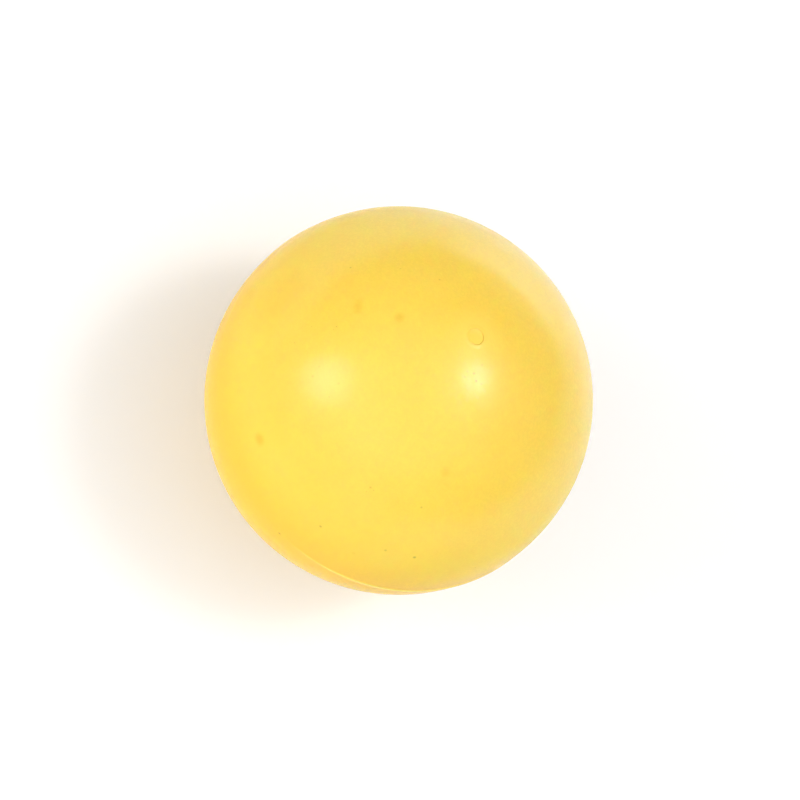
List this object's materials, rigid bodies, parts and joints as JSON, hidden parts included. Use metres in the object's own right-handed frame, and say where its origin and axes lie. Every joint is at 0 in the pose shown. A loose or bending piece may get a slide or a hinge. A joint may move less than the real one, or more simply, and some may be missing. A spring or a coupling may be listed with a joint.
{
  "type": "rubber ball",
  "caption": "Hollow translucent yellow rubber ball of bonded half-shells, with a thin raised seam and a small round inflation plug near one pole.",
  "frame": {"origin": "centre of the ball", "axes": "+Z through the pole of the half-shell that holds the inflation plug, square to the seam; the plug leans off that pole towards +X"},
  "size_m": [0.0654, 0.0654, 0.0651],
  "materials": {
    "shell_rubber": "satin, slightly translucent natural rubber with a fine moulded grain",
    "bond_rubber": "satin bonding rubber, a little paler than the shells",
    "plug_rubber": "satin soft rubber, trimmed by hand"
  },
  "bodies": {
    "root": {"plug_half_shell": "shell_rubber", "plain_half_shell": "shell_rubber", "seam_bond": "bond_rubber", "inflation_plug": "plug_rubber"}
  },
  "joints": []
}
